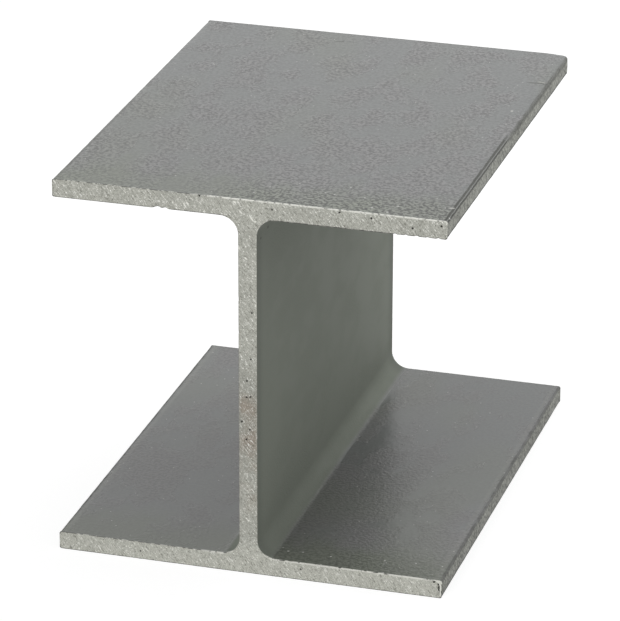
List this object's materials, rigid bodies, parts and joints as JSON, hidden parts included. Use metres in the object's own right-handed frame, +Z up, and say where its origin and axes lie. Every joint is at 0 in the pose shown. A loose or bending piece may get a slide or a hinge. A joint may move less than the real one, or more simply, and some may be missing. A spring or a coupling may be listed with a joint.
{
  "type": "fibreglass wide-flange beam",
  "caption": "Short sawn length of pultruded fibreglass beam: a web with a wide flange along its top and bottom, filleted where they meet.",
  "frame": {"origin": "middle of the underside of the lower flange, half way along the beam", "axes": "+Z up through the web, +Y along the beam, +X across the flanges to the right, seen from the near sawn end"},
  "size_m": [0.2032, 0.256, 0.2032],
  "materials": {
    "fibreglass": "semi-gloss pultruded fibreglass, grey through and through, with sawn ends"
  },
  "bodies": {
    "root": {"wide_flange_beam": "fibreglass"}
  },
  "joints": []
}
